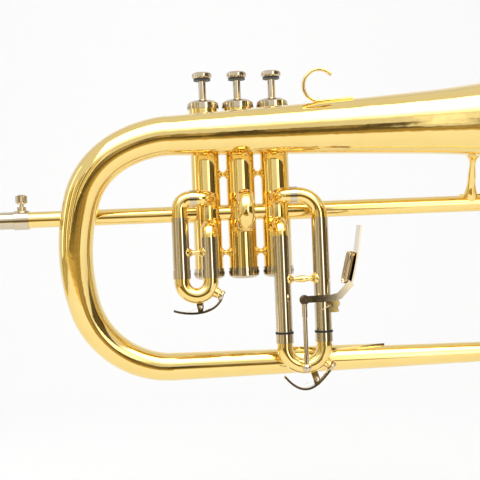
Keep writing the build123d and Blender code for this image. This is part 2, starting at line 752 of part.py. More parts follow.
# ---- pistons: hollow, with the straight windway and the two slide passages through them ----
piston_r = casing_bore / 2 - piston_gap
for number, (x, rise) in enumerate(zip(valve_xs, casing_rises), 1):
    with BuildPart() as piston:
        with BuildSketch(Plane.XY.offset(piston_bottom)):
            with Locations((x, 0)):
                Circle(piston_r)
        extrude(amount=piston_top - piston_bottom)
        with BuildSketch(Plane.XY.offset(piston_bottom + piston_wall)):
            with Locations((x, 0)):
                Circle(piston_r - piston_wall)
        extrude(amount=piston_top - piston_bottom - 2 * piston_wall, mode=Mode.SUBTRACT)
        with BuildSketch(Plane.YZ.offset(x)):
            Circle(port_r + tube_wall)
        extrude(amount=piston_r, both=True)
        with BuildSketch(Plane.XY.offset(piston_bottom)):
            with Locations((x, 0)):
                Circle(piston_r)
        extrude(amount=piston_top - piston_bottom, mode=Mode.INTERSECT)
        with BuildSketch(Plane.YZ.offset(x)):
            Circle(port_r)
        extrude(amount=piston_r + through, both=True, mode=Mode.SUBTRACT)
    piston.part.label = f"piston_{number}"
    export_step(piston.part, f"parts/piston_{number}.step")

    # Stem and dished button, turned in one.
    stem_r = stem_d / 2
    button_top = button_base_z + button_height
    with BuildPart() as button:
        with BuildSketch(Plane.XZ):
            with BuildLine():
                Polyline(
                    (x, piston_top), (x + stem_r, piston_top), (x + stem_r, button_base_z),
                    (x + button_r - button_edge, button_base_z), (x + button_r, button_base_z + button_edge),
                    (x + button_r, button_top - button_edge), (x + button_r - button_edge, button_top),
                    (x + pearl_r, button_top),
                    (x + pearl_r, button_top - pearl_inset), (x, button_top - pearl_inset), close=True,
                )
            make_face()
        revolve(axis=Axis((x, 0, 0), (0, 0, 1)))
    button.part.label = f"button_{number}"
    export_step(button.part, f"parts/button_{number}.step")

    pearl_base = button_top - pearl_inset
    with BuildPart() as pearl:
        with BuildSketch(Plane.XZ):
            with BuildLine():
                Line((x, pearl_base), (x + pearl_r, pearl_base))
                Line((x + pearl_r, pearl_base), (x + pearl_r, button_top))
                Spline((x + pearl_r, button_top), (x, button_top + pearl_crown), tangents=[(-1, 1), (-1, 0)])
                Line((x, button_top + pearl_crown), (x, pearl_base))
            make_face()
        revolve(axis=Axis((x, 0, 0), (0, 0, 1)))
    pearl.part.label = f"pearl_{number}"
    export_step(pearl.part, f"parts/pearl_{number}.step")

    with BuildPart() as felt:
        with BuildSketch(Plane.XY.offset(button_base_z - felt_height)):
            with Locations((x, 0)):
                ring_sketch(felt_r, stem_r)
        extrude(amount=felt_height)
    felt.part.label = f"felt_{number}"
    export_step(felt.part, f"parts/felt_{number}.step")


# ---- water keys ----
def around(centre, distance, angle):
    """A point at a distance and an angle from a bow's centre, in the slides' plane."""
    return (centre[0] + distance * cos(radians(angle)), centre[1] + distance * sin(radians(angle)))


def key_plane():
    return Plane.XZ.offset(-slide_y)


def slab(shape, half_width, mode=Mode.ADD):
    """Gives a flat shape in the slides' plane its width, half to each side."""
    extrude(shape.sketch, amount=half_width, both=True, mode=mode)


def stub(centre, distance, angle, radius, length):
    """A round stub that stands out from a bow's centre at an angle."""
    foot = around(centre, distance, angle)
    plane = Plane(origin=(foot[0], slide_y, foot[1]), z_dir=(cos(radians(angle)), 0, sin(radians(angle))))
    with BuildSketch(plane) as section:
        Circle(radius)
    extrude(section.sketch, amount=length)


def key_mount(centre, outer_r, nipple_angle, hinge):
    """Drain nipple and hinge post, soldered to the outside of a bow."""
    stub(centre, outer_r - knuckle_r, nipple_angle, nipple_r, knuckle_r + nipple_height)
    post_angle = degrees(atan2(hinge[1] - centre[1], hinge[0] - centre[0]))
    with BuildSketch(key_plane()) as post:
        with BuildLine():
            Line(around(centre, outer_r - knuckle_r, post_angle), hinge)
        trace(line_width=key_post_width * 2)
        with Locations(hinge):
            Circle(key_post_width)
            Circle(key_pin_r + running_gap, mode=Mode.SUBTRACT)
    slab(post, key_post_width / 2)


def cut_bow(mid_x, spacing, bow_z, start_z):
    """Trims a piece to the outside of a hanging bow."""
    half = spacing / 2
    with BuildLine(key_plane()) as path:
        Line((mid_x - half, start_z), (mid_x - half, bow_z))
        RadiusArc((mid_x - half, bow_z), (mid_x + half, bow_z), -half)
        Line((mid_x + half, bow_z), (mid_x + half, start_z))
    wire = path.wires()[0]
    with BuildSketch(Plane(origin=wire @ 0, z_dir=wire % 0)) as section:
        Circle(knuckle_r)
    sweep(section.sketch, path=wire, mode=Mode.SUBTRACT)


def water_key(centre, outer_r, nipple_angle, hinge, tip):
    """Curved lever with its cup; ears straddle the post and hold the pin."""
    cup_distance = outer_r + nipple_height + cork_gap
    cup_back = around(centre, cup_distance + cup_height - key_strip / 2, nipple_angle)
    bend = around(centre, cup_distance + cup_height + 0.5, nipple_angle - 20)
    under = (hinge[0], hinge[1] - key_post_width - key_strip)
    with BuildSketch(key_plane()) as strip:
        with BuildLine():
            Spline(cup_back, bend, under, tip)
        trace(line_width=key_strip)
    slab(strip, key_width / 2)
    with BuildSketch(key_plane()) as ears:
        with BuildLine():
            Line(hinge, under)
        trace(line_width=2 * key_ear_r)
        with Locations(hinge):
            Circle(key_ear_r)
    slab(ears, key_width / 2)
    with BuildSketch(key_plane()) as slot:
        with Locations((hinge[0], hinge[1] + key_pin_r)):
            Rectangle(6 * key_post_width, 2 * (key_post_width + key_pin_r) + 0.4)
    slab(slot, key_post_width / 2 + free_gap, Mode.SUBTRACT)
    with BuildSketch(key_plane()) as pin:
        with Locations(hinge):
            Circle(key_pin_r)
    slab(pin, key_width / 2)
    stub(centre, cup_distance, nipple_angle, cup_r, cup_height)


key_1_centre = (slide_1_mid_x, slide_1_bow_z)
key_1_outer = slide_1_spacing / 2 + knuckle_r
key_1_hinge = around(key_1_centre, key_1_outer + key_1_hinge_height, key_1_hinge_angle)
key_1_tip = (slide_1_far_x - 7.0, key_1_hinge[1] - 1.8)
key_3_centre = (slide_3_mid_x, slide_3_bow_z)
key_3_outer = slide_3_spacing / 2 + knuckle_r
key_3_hinge = around(key_3_centre, key_3_outer + key_3_hinge_height, key_3_hinge_angle)
key_3_tip = (valve_xs[2] - 1.2, key_3_hinge[1] + 2.9)

with BuildPart() as key_1_mount:
    key_mount(key_1_centre, key_1_outer, key_1_nipple, key_1_hinge)
    cut_bow(slide_1_mid_x, slide_1_spacing, slide_1_bow_z, slide_1_joint_z)
key_1_mount.part.label = "key_1_mount"
export_step(key_1_mount.part, "parts/key_1_mount.step")

with BuildPart() as water_key_1:
    water_key(key_1_centre, key_1_outer, key_1_nipple, key_1_hinge, key_1_tip)
water_key_1.part.label = "water_key_1"
export_step(water_key_1.part, "parts/water_key_1.step")

with BuildPart() as key_3_mount:
    key_mount(key_3_centre, key_3_outer, key_3_nipple, key_3_hinge)
    cut_bow(slide_3_mid_x, slide_3_spacing, slide_3_bow_z, slide_3_joint_z)
key_3_mount.part.label = "key_3_mount"
export_step(key_3_mount.part, "parts/key_3_mount.step")

with BuildPart() as water_key_3:
    water_key(key_3_centre, key_3_outer, key_3_nipple, key_3_hinge, key_3_tip)
water_key_3.part.label = "water_key_3"
export_step(water_key_3.part, "parts/water_key_3.step")

# ---- trigger: bracket on the right sleeve, with the pivot screw ----
arm_front_y = arm_back_y - arm_thickness
with BuildPart() as trigger_bracket:
    with BuildSketch(Plane.XZ.offset(-bracket_back_y)):
        with Locations(((slide_3_far_x + pivot_x + bracket_width / 2) / 2, pivot_z - bracket_drop)):
            RectangleRounded(pivot_x + bracket_width / 2 - slide_3_far_x, bracket_height, bracket_corner)
    extrude(amount=bracket_back_y - bracket_front_y)
    cut_leg(slide_3_far_x, sleeve_r, slide_3_sleeve_end, slide_3_right_top)
    with BuildSketch(Plane.XZ.offset(-bracket_front_y)):
        with Locations((pivot_x, pivot_z)):
            Circle(pivot_screw_r)
    extrude(amount=bracket_front_y - arm_front_y + free_gap)
    with BuildSketch(Plane.XZ.offset(-arm_front_y + free_gap)):
        with Locations((pivot_x, pivot_z)):
            Circle(1.7 * pivot_screw_r)
    extrude(amount=screw_head_height)
trigger_bracket.part.label = "trigger_bracket"
export_step(trigger_bracket.part, "parts/trigger_bracket.step")

# Lever: an arm to the rod's eye, and a neck up to the finger saddle.
eye_x = pivot_x - arm_reach
eye_z = pivot_z + arm_rise
saddle_line = [(pivot_x + dx, pivot_z + dz) for dx, dz in saddle_points]
saddle_mid_y = arm_back_y + saddle_offset
with BuildPart() as trigger_lever:
    with BuildSketch(Plane.XZ.offset(-arm_back_y)):
        with BuildLine():
            Polyline((eye_x, eye_z), (pivot_x - 3, eye_z + 0.2), (pivot_x + 3.2, eye_z + 1.6), saddle_line[0])
        trace(line_width=arm_height)
        with Locations((eye_x, eye_z)):
            Circle(arm_height / 2 + 0.4)
        with Locations((pivot_x, pivot_z)):
            Circle(2.2 * pivot_screw_r)
        with BuildLine():
            Line((pivot_x, pivot_z), (pivot_x - 0.5, eye_z))
        trace(line_width=arm_height)
    extrude(amount=arm_thickness)
    with BuildSketch(Plane.XZ.offset(-saddle_mid_y)):
        with BuildLine():
            Spline(*saddle_line)
        trace(line_width=saddle_thickness)
    extrude(amount=saddle_width / 2, both=True)
    with BuildSketch(Plane.XZ.offset(-arm_back_y)):
        with Locations((pivot_x, pivot_z)):
            Circle(pivot_screw_r + running_gap)
    extrude(amount=arm_thickness, mode=Mode.SUBTRACT)
    with BuildSketch(Plane.XZ.offset(-arm_front_y)):
        with Locations((eye_x, eye_z)):
            Circle(pivot_screw_r)
    extrude(amount=eye_thickness + 2 * free_gap)
    with BuildSketch(Plane.XZ.offset(-arm_front_y + eye_thickness + 2 * free_gap)):
        with Locations((eye_x, eye_z)):
            Circle(ball_r)
    extrude(amount=eye_pin_head)
trigger_lever.part.label = "trigger_lever"
export_step(trigger_lever.part, "parts/trigger_lever.step")

# Rod: eye at the lever's pin, two sleeves, and a ball on a stud at the front of the bow.
rod_y = arm_front_y - free_gap - eye_thickness / 2
rod_foot_z = slide_3_bow_z - slide_3_spacing / 2
with BuildPart() as trigger_rod:
    with BuildSketch(Plane.XZ.offset(-arm_front_y + free_gap)):
        with Locations((eye_x, eye_z)):
            Circle(eye_r)
    extrude(amount=eye_thickness)
    with BuildSketch(Plane.XY.offset(rod_foot_z)):
        with Locations((eye_x, rod_y)):
            Circle(rod_r)
    extrude(amount=eye_z - eye_r + 0.8 - rod_foot_z)
    for low in (rod_foot_z, eye_z - eye_r - rod_sleeve_length + 0.6):
        with BuildSketch(Plane.XY.offset(low)):
            with Locations((eye_x, rod_y)):
                Circle(rod_sleeve_r)
        extrude(amount=rod_sleeve_length)
    with BuildSketch(Plane.XZ.offset(-slide_y)):
        with Locations((eye_x, rod_foot_z)):
            Circle(ball_stud_r)
    extrude(amount=slide_y - rod_y)
    with Locations((eye_x, rod_y, rod_foot_z)):
        Sphere(ball_r + ball_cap)
    with BuildSketch(Plane.XZ.offset(-arm_front_y + free_gap)):
        with Locations((eye_x, eye_z)):
            Circle(pivot_screw_r + eye_gap)
    extrude(amount=eye_thickness, mode=Mode.SUBTRACT)
    cut_bow(slide_3_mid_x, slide_3_spacing, slide_3_bow_z, slide_3_joint_z)
trigger_rod.part.label = "trigger_rod"
export_step(trigger_rod.part, "parts/trigger_rod.step")

# ---- post between the bell and the exit tube, and hidden stays behind the bell and the bow ----
brace_foot = Vector(brace_tube_x, 0, 0)
brace_axis_point = bell_origin + bell_direction * (brace_bell_x - bell_start_x)
brace_head = brace_axis_point + (brace_foot - brace_axis_point) * brace_start
with BuildPart() as bell_brace:
    turned(tuple(brace_head), tuple(brace_foot), (1, 0, 0), brace_radii)
    with BuildSketch(Plane.XY):
        with BuildLine():
            Polyline(
                (brace_tube_x - diamond_half, 0), (brace_tube_x, diamond_half / 2),
                (brace_tube_x + diamond_half, 0), (brace_tube_x, -diamond_half / 2), close=True,
            )
        make_face()
    extrude(amount=crook_start_r + diamond_height)
    with BuildSketch(Plane.YZ.offset(brace_tube_x)):
        Circle(crook_start_r)
    extrude(amount=2 * diamond_half, both=True, mode=Mode.SUBTRACT)
    add(bell_blank.part, mode=Mode.SUBTRACT)
bell_brace.part.label = "bell_brace"
export_step(bell_brace.part, "parts/bell_brace.step")

with BuildPart() as hidden_stays:
    for x in (valve_xs[0], valve_xs[2]):
        with BuildSketch(Plane.XZ.offset(casing_r / 2)):
            with Locations((x, bell_z)):
                Circle(hidden_stay_r)
        extrude(amount=-bell_y - casing_r / 2)
        cut_casing(x)
    add(bell_blank.part, mode=Mode.SUBTRACT)
hidden_stays.part.label = "hidden_stays"
export_step(hidden_stays.part, "parts/hidden_stays.step")

# ---- hook for the right little finger, on the top of the bell ----
def bell_crest(x):
    """A point on the bell's crest, in the bell's own plane."""
    along = (x - bell_start_x) / cos(radians(bell_lift))
    return (along, bell_radius(along) + hook_strip / 2 - solder_sink)


with BuildPart() as finger_hook:
    foot = bell_crest(hook_foot_x)
    bend = bell_crest(hook_turn_x)
    with BuildLine(bell_plane) as path:
        Line(foot, bend)
        JernArc(bend, (bend[0] - foot[0], bend[1] - foot[1]), hook_radius, -hook_sweep)
    hook_wire = path.wires()[0]
    with BuildSketch(Plane(origin=hook_wire @ 0, x_dir=bell_plane.z_dir, z_dir=hook_wire % 0)):
        RectangleRounded(hook_width, hook_strip, hook_edge)
    sweep(path=hook_wire)
    add(bell_blank.part, mode=Mode.SUBTRACT)
finger_hook.part.label = "finger_hook"
export_step(finger_hook.part, "parts/finger_hook.step")

# ---- clamp ring with its boss, and the lock screw ----
clamp_r = leadpipe_r + clamp_wall
boss_top = clamp_r + boss_height
with BuildPart() as clamp_ring:
    with BuildSketch(Plane.YZ.offset(leadpipe_end_x)):
        ring_sketch(clamp_r, leadpipe_r)
    extrude(amount=clamp_length)
    with BuildSketch(Plane.XY):
        with Locations((clamp_mid_x, 0)):
            Circle(screw_r + boss_wall)
    extrude(amount=boss_top)
    with BuildSketch(Plane.YZ.offset(leadpipe_end_x)):
        Circle(leadpipe_r)
    extrude(amount=clamp_length, mode=Mode.SUBTRACT)
    with BuildSketch(Plane.XY):
        with Locations((clamp_mid_x, 0)):
            Circle(screw_r + running_gap)
    extrude(amount=boss_top, mode=Mode.SUBTRACT)
clamp_ring.part.label = "clamp_ring"
export_step(clamp_ring.part, "parts/clamp_ring.step")

mouthpipe_r = leadpipe_r - tube_wall - running_gap
with BuildPart() as lock_screw:
    with BuildSketch(Plane.XZ):
        with BuildLine():
            Polyline(
                (clamp_mid_x, mouthpipe_r + running_gap), (clamp_mid_x + screw_r, mouthpipe_r + running_gap),
                (clamp_mid_x + screw_r, screw_stem_top), (clamp_mid_x + screw_knob_r - 1, screw_stem_top),
                (clamp_mid_x + screw_knob_r, screw_stem_top + 1),
                (clamp_mid_x + screw_knob_r, screw_stem_top + screw_knob_height - 1.5),
                (clamp_mid_x + screw_knob_r - 1.5, screw_stem_top + screw_knob_height),
                (clamp_mid_x, screw_stem_top + screw_knob_height), close=True,
            )
        make_face()
    revolve(axis=Axis((clamp_mid_x, 0, 0), (0, 0, 1)))
lock_screw.part.label = "lock_screw"
export_step(lock_screw.part, "parts/lock_screw.step")

# ---- mouthpipe: a tube that slides in the leadpipe, with the receiver on its outer end ----
receiver_start = leadpipe_end_x - free_gap
receiver_end = receiver_start - receiver_length - receiver_ring_length
receiver_r = leadpipe_r + receiver_step
receiver_ring_r = leadpipe_r + receiver_ring_step
shank_tip_x = receiver_end + shank_depth
exit_shank_r = shank_tip_r + shank_taper * shank_depth
with BuildPart() as mouthpipe:
    with BuildSketch(Plane.YZ.offset(receiver_start)):
        ring_sketch(mouthpipe_r, mouthpipe_bore_r)
    extrude(amount=leadpipe_end_x + mouthpipe_insert - receiver_start)
    turned_on_x(0, [
        (receiver_start, mouthpipe_bore_r), (receiver_start, receiver_r),
        (receiver_start - receiver_length, receiver_r),
        (receiver_start - receiver_length - receiver_ring_step, receiver_ring_r),
        (receiver_end + receiver_ring_step, receiver_ring_r), (receiver_end, receiver_r),
        (receiver_end, exit_shank_r + running_gap),
        (shank_tip_x, shank_tip_r + running_gap), (shank_tip_x + free_gap, mouthpipe_bore_r),
    ])
mouthpipe.part.label = "mouthpipe"
export_step(mouthpipe.part, "parts/mouthpipe.step")

# ---- mouthpiece: taper shank, long throat and a deep cup with a rounded rim ----
rim_x = shank_tip_x - mouthpiece_length
cup_outer_r = mouthpiece_cup_od / 2
with BuildPart() as mouthpiece:
    with BuildSketch(Plane.XZ):
        with BuildLine():
            Polyline(
                (rim_x + cup_depth, throat_r), (rim_x + cup_depth + throat_length, throat_r),
                (shank_tip_x, shank_tip_r - shank_bore_edge),
                (shank_tip_x, shank_tip_r), (receiver_end, exit_shank_r), (receiver_end - 2, exit_shank_r + 0.1),
            )
            Spline((receiver_end - 2, exit_shank_r + 0.1), (receiver_end - 12, exit_shank_r + 1.6),
                   (receiver_end - 22, cup_outer_r - 4.5), (receiver_end - 30, cup_outer_r - 1.6),
                   (rim_x + 7, cup_outer_r - 1.4))
            Line((rim_x + 7, cup_outer_r - 1.4), (rim_x + 6.4, cup_outer_r))
            Line((rim_x + 6.4, cup_outer_r), (rim_x + 2, cup_outer_r))
            Spline((rim_x + 2, cup_outer_r), (rim_x, (cup_outer_r + cup_open_r) / 2), (rim_x + 1.2, cup_open_r))
            Spline((rim_x + 1.2, cup_open_r), (rim_x + cup_depth * 0.5, cup_open_r * 0.72),
                   (rim_x + cup_depth, throat_r))
        make_face()
    revolve(axis=Axis.X)
mouthpiece.part.label = "mouthpiece"
export_step(mouthpiece.part, "parts/mouthpiece.step")
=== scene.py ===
import math
import bpy
import bmesh
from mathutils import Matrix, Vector


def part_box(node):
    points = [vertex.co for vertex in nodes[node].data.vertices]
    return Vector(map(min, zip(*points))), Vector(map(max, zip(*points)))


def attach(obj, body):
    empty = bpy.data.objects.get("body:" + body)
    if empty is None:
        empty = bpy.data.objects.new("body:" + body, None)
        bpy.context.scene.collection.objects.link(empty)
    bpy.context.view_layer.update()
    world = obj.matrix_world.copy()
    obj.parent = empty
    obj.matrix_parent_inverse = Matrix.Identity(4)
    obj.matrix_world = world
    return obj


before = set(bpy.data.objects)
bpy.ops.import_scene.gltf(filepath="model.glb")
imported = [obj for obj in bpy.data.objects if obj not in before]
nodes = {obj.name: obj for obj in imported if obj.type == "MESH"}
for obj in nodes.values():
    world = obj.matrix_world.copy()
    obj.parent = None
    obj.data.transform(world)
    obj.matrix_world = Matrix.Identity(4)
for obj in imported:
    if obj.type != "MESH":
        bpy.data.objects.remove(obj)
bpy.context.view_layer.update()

# ---- Lacquered brass: bell, crook, tubes, casings, knuckles and stays ----
# Thin brass tube, bent and soldered, then polished and coated with clear lacquer.
# The polishing leaves very fine lines, and the lacquer lies over them as a smooth skin.
def linear(code):
    """An sRGB colour such as "#f3cf78" as linear RGBA."""
    parts = [int(code[i:i + 2], 16) / 255 for i in (1, 3, 5)]
    return tuple(c / 12.92 if c <= 0.04045 else ((c + 0.055) / 1.055) ** 2.4 for c in parts) + (1.0,)


def add(tree, kind, sockets=None, **settings):
    """A node with its settings; a socket takes a constant, or another node's output."""
    node = tree.nodes.new(kind)
    for name, value in settings.items():
        setattr(node, name, value)
    for key, value in (sockets or {}).items():
        if isinstance(value, bpy.types.NodeSocket):
            tree.links.new(value, node.inputs[key])
        else:
            node.inputs[key].default_value = value
    return node


def new_material(name):
    """An empty material with its tree, its output and the object's own coordinates."""
    made = bpy.data.materials.new(name)
    made.use_nodes = True
    made.node_tree.nodes.clear()
    out = add(made.node_tree, "ShaderNodeOutputMaterial")
    where = add(made.node_tree, "ShaderNodeTexCoord").outputs["Object"]
    return made, made.node_tree, out, where


def polished_metal(name, colour, deep, low, high, wave, coat):
    """Polished metal: a cloudy tone, a roughness that varies, faint polishing lines and a slight waviness."""
    made, tree, out, where = new_material(name)
    # Patches of tone about 40 mm across, smudges of about 13 mm and swells of about 20 mm.
    # The polishing lines are 0.2 mm apart, coarser than real ones so that they can show.
    clouds = add(tree, "ShaderNodeTexNoise",
                 {"Vector": where, "Scale": 26.0, "Detail": 4.0, "Roughness": 0.55})
    tone = add(tree, "ShaderNodeMix", {0: clouds.outputs["Fac"], 6: linear(deep), 7: linear(colour)},
               data_type="RGBA")
    smudge = add(tree, "ShaderNodeTexNoise",
                 {"Vector": where, "Scale": 75.0, "Detail": 6.0, "Roughness": 0.62})
    rough = add(tree, "ShaderNodeMapRange",
                {"Value": smudge.outputs["Fac"], "From Min": 0.34, "From Max": 0.72,
                 "To Min": low, "To Max": high})
    lines = add(tree, "ShaderNodeMapping", {"Vector": where, "Scale": (260.0, 260.0, 5200.0)})
    hair = add(tree, "ShaderNodeTexNoise", {"Vector": lines.outputs["Vector"], "Scale": 1.0, "Detail": 3.0})
    swell = add(tree, "ShaderNodeTexNoise", {"Vector": where, "Scale": 48.0, "Detail": 1.0})
    waves = add(tree, "ShaderNodeBump", {"Height": swell.outputs["Fac"], "Strength": wave, "Distance": 0.001})
    scratched = add(tree, "ShaderNodeBump", {"Height": hair.outputs["Fac"], "Normal": waves.outputs["Normal"],
                                             "Strength": 0.05, "Distance": 0.00004})
    metal = add(tree, "ShaderNodeBsdfPrincipled", {"Base Color": tone.outputs[2], "Metallic": 1.0,
                                                   "Roughness": rough.outputs["Result"],
                                                   "Normal": scratched.outputs["Normal"],
                                                   "Coat Weight": coat, "Coat Roughness": 0.03})
    tree.links.new(metal.outputs["BSDF"], out.inputs["Surface"])
    return made


# Lacquered brass: warm yellow and soft clouds where the lacquer has aged; its sharp dark-gold bands are
# painted reflections of the dim glowing cards low in front.
brass = polished_metal("lacquered_brass", "#f6dc92", "#efce7a", 0.045, 0.12, 0.014, 0.35)

# ---- Nickel silver: caps, slide sleeves, ferrules, inner legs, keys, trigger, mouthpipe ----
# A hard white alloy of copper and nickel, drawn as tube or cast, and polished bare.
# It is warmer and a little duller than silver, and no lacquer lies over it.
nickel = polished_metal("nickel_silver", "#dccfb8", "#c4b597", 0.045, 0.11, 0.012, 0.0)

# ---- Silver plate: the mouthpiece ----
# Turned brass with a bright silver plate.
# The plate is nearly white and mirror-like.
silver = polished_metal("silver_plate", "#efece6", "#dedad2", 0.03, 0.09, 0.015, 0.0)

# ---- Pearl: the finger buttons' inlays ----
# A thin disc of shell, ground flat with a slight crown and set in the button.
# Its cloudy bands shift in colour, under a clear polish.
pearl, tree, out, where = new_material("mother_of_pearl")
bands = add(tree, "ShaderNodeTexNoise", {"Vector": where, "Scale": 240.0, "Detail": 3.0, "Distortion": 2.2})
ramp = add(tree, "ShaderNodeValToRGB", {"Fac": bands.outputs["Fac"]})
for stop, (place, code) in zip(
    [ramp.color_ramp.elements[0], ramp.color_ramp.elements[1], ramp.color_ramp.elements.new(0.5)],
    [(0.3, "#dfe6e2"), (0.72, "#f4ead9"), (0.5, "#f2dfe0")],
):
    stop.position = place
    stop.color = linear(code)
shell = add(tree, "ShaderNodeBsdfPrincipled", {"Base Color": ramp.outputs["Color"], "Roughness": 0.16,
                                               "Coat Weight": 0.8, "Coat Roughness": 0.05,
                                               "Thin Film Thickness": 420.0, "Sheen Weight": 0.1})
tree.links.new(shell.outputs["BSDF"], out.inputs["Surface"])

# ---- Felt: the washers under the finger buttons ----
# Pressed wool, punched to a ring and dyed black.
# Its fibres break up the edge and take all the gloss away.
felt, tree, out, where = new_material("pressed_wool_felt")
fibres = add(tree, "ShaderNodeTexNoise", {"Vector": where, "Scale": 2600.0, "Detail": 5.0, "Roughness": 0.7})
fuzz = add(tree, "ShaderNodeBump", {"Height": fibres.outputs["Fac"], "Strength": 0.9, "Distance": 0.0004})
wool = add(tree, "ShaderNodeMix", {0: fibres.outputs["Fac"], 6: linear("#0c0c0d"), 7: linear("#2a2a2c")},
           data_type="RGBA")
cloth = add(tree, "ShaderNodeBsdfPrincipled", {"Base Color": wool.outputs[2], "Roughness": 0.95,
                                               "Sheen Weight": 0.5, "Sheen Roughness": 0.5,
                                               "Normal": fuzz.outputs["Normal"]})
tree.links.new(cloth.outputs["BSDF"], out.inputs["Surface"])

# ---- Rubber: the bumper rings of the third slide ----
# Moulded black rubber rings, stretched on to the inner legs.
# They are dull, with a faint dusty bloom.
rubber, tree, out, where = new_material("black_rubber")
dust = add(tree, "ShaderNodeTexNoise", {"Vector": where, "Scale": 420.0, "Detail": 4.0})
bloom = add(tree, "ShaderNodeMapRange", {"Value": dust.outputs["Fac"], "To Min": 0.42, "To Max": 0.66})
grain = add(tree, "ShaderNodeBump", {"Height": dust.outputs["Fac"], "Strength": 0.25, "Distance": 0.0001})
ring = add(tree, "ShaderNodeBsdfPrincipled",
           {"Base Color": linear("#141416"), "Roughness": bloom.outputs["Result"],
            "Normal": grain.outputs["Normal"]})
tree.links.new(ring.outputs["BSDF"], out.inputs["Surface"])

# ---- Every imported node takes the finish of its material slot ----
# The slots are those of the record: one for each real finish of the horn.
finishes = {"lacquered_brass": brass, "nickel_silver": nickel, "silver_plate": silver,
            "pearl": pearl, "felt": felt, "rubber_black": rubber}
for node in nodes.values():
    for held in node.material_slots:
        found = [f for f in finishes if held.material and held.material.name.startswith(f)]
        held.material = finishes[found[0]] if found else brass

# ---- Knurling round the valve caps and the lock screw's knob ----
# Fine upright ribs cut by a wheel in the lathe, so that fingers can turn the part.
# One rib is repeated round a circle at each part's place.
def knurl(name, places, radius, height, width, depth, count, finish, body):
    """Ribs of one size round circles about upright axes at the places."""
    seats = bpy.data.meshes.new(name + "_seats")
    seats.from_pydata([Vector(p) for p in places], [], [])
    seat = bpy.data.objects.new(name + "_seat", seats)
    bpy.context.scene.collection.objects.link(seat)
    tree = bpy.data.node_groups.new(name + "_ribs", "GeometryNodeTree")
    wanted = {"Radius": radius, "Height": height, "Width": width, "Depth": depth, "Count": count, "Seed": 7}
    tree.interface.new_socket("Geometry", in_out="INPUT", socket_type="NodeSocketGeometry")
    sockets = {}
    for key in wanted:
        kind = "NodeSocketInt" if key in ("Count", "Seed") else "NodeSocketFloat"
        sockets[key] = tree.interface.new_socket(key, in_out="INPUT", socket_type=kind)
    tree.interface.new_socket("Geometry", in_out="OUTPUT", socket_type="NodeSocketGeometry")
    given = add(tree, "NodeGroupInput").outputs
    size = add(tree, "ShaderNodeCombineXYZ", {"X": given["Depth"], "Y": given["Width"], "Z": given["Height"]})
    rib = add(tree, "GeometryNodeMeshCube", {"Size": size.outputs["Vector"]})
    circle = add(tree, "GeometryNodeMeshCircle", {"Vertices": given["Count"], "Radius": given["Radius"]})
    at = add(tree, "GeometryNodeInputPosition")
    faced = add(tree, "FunctionNodeAlignRotationToVector", {"Vector": at.outputs["Position"]},
                axis="X", pivot_axis="Z")
    uneven = add(tree, "FunctionNodeRandomValue", {"Seed": given["Seed"]}, data_type="FLOAT")
    uneven.inputs[2].default_value, uneven.inputs[3].default_value = 0.94, 1.06
    ring = add(tree, "GeometryNodeInstanceOnPoints",
               {"Points": circle.outputs["Mesh"], "Instance": rib.outputs["Mesh"],
                "Rotation": faced.outputs["Rotation"], "Scale": uneven.outputs[1]})
    whole = add(tree, "GeometryNodeRealizeInstances", {"Geometry": ring.outputs["Instances"]})
    placed = add(tree, "GeometryNodeInstanceOnPoints",
                 {"Points": given["Geometry"], "Instance": whole.outputs[0]})
    joined = add(tree, "GeometryNodeRealizeInstances", {"Geometry": placed.outputs["Instances"]})
    painted = add(tree, "GeometryNodeSetMaterial", {"Geometry": joined.outputs[0], "Material": finish})
    add(tree, "NodeGroupOutput", {"Geometry": painted.outputs[0]})
    used = seat.modifiers.new("ribs", "NODES")
    used.node_group = tree
    for key, value in wanted.items():
        used[sockets[key].identifier] = value
    bpy.context.view_layer.update()
    baked = bpy.data.meshes.new_from_object(seat.evaluated_get(bpy.context.evaluated_depsgraph_get()))
    seat.modifiers.remove(used)
    bpy.data.objects.remove(seat)
    made = bpy.data.objects.new(name, baked)
    bpy.context.scene.collection.objects.link(made)
    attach(made, body)


valve_axes = [(lo.x + hi.x) / 2 for lo, hi in (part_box(f"button_{n}") for n in (1, 2, 3))]
top_low, top_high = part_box("top_caps")
foot_low, foot_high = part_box("bottom_caps")
top_r = (top_high.y - top_low.y) / 2
foot_r = (foot_high.y - foot_low.y) / 2
rib_width, rib_depth = 0.0005, 0.0006
sunk = 0.0001  # how far the circle of ribs lies inside the cap's own edge
top_band, foot_band = 0.0013, 0.0048  # the knurled band's middle above the cap's lower end
knurl("top_cap_knurling", [(x, 0, top_low.z + top_band) for x in valve_axes], top_r - sunk,
      0.0019, rib_width, rib_depth, 84, nickel, "horn")
knurl("bottom_cap_knurling", [(x, 0, foot_low.z + foot_band) for x in valve_axes], foot_r - sunk,
      0.0020, rib_width, rib_depth, 80, nickel, "horn")
screw_low, screw_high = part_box("lock_screw")
screw_x = (screw_low.x + screw_high.x) / 2
screw_r = (screw_high.x - screw_low.x) / 2
knob_middle = 0.0035  # below the knob's top
knurl("lock_screw_knurling", [(screw_x, 0, screw_high.z - knob_middle)], screw_r,
      0.0052, rib_width, 0.0005, 32, nickel, "lock_screw")

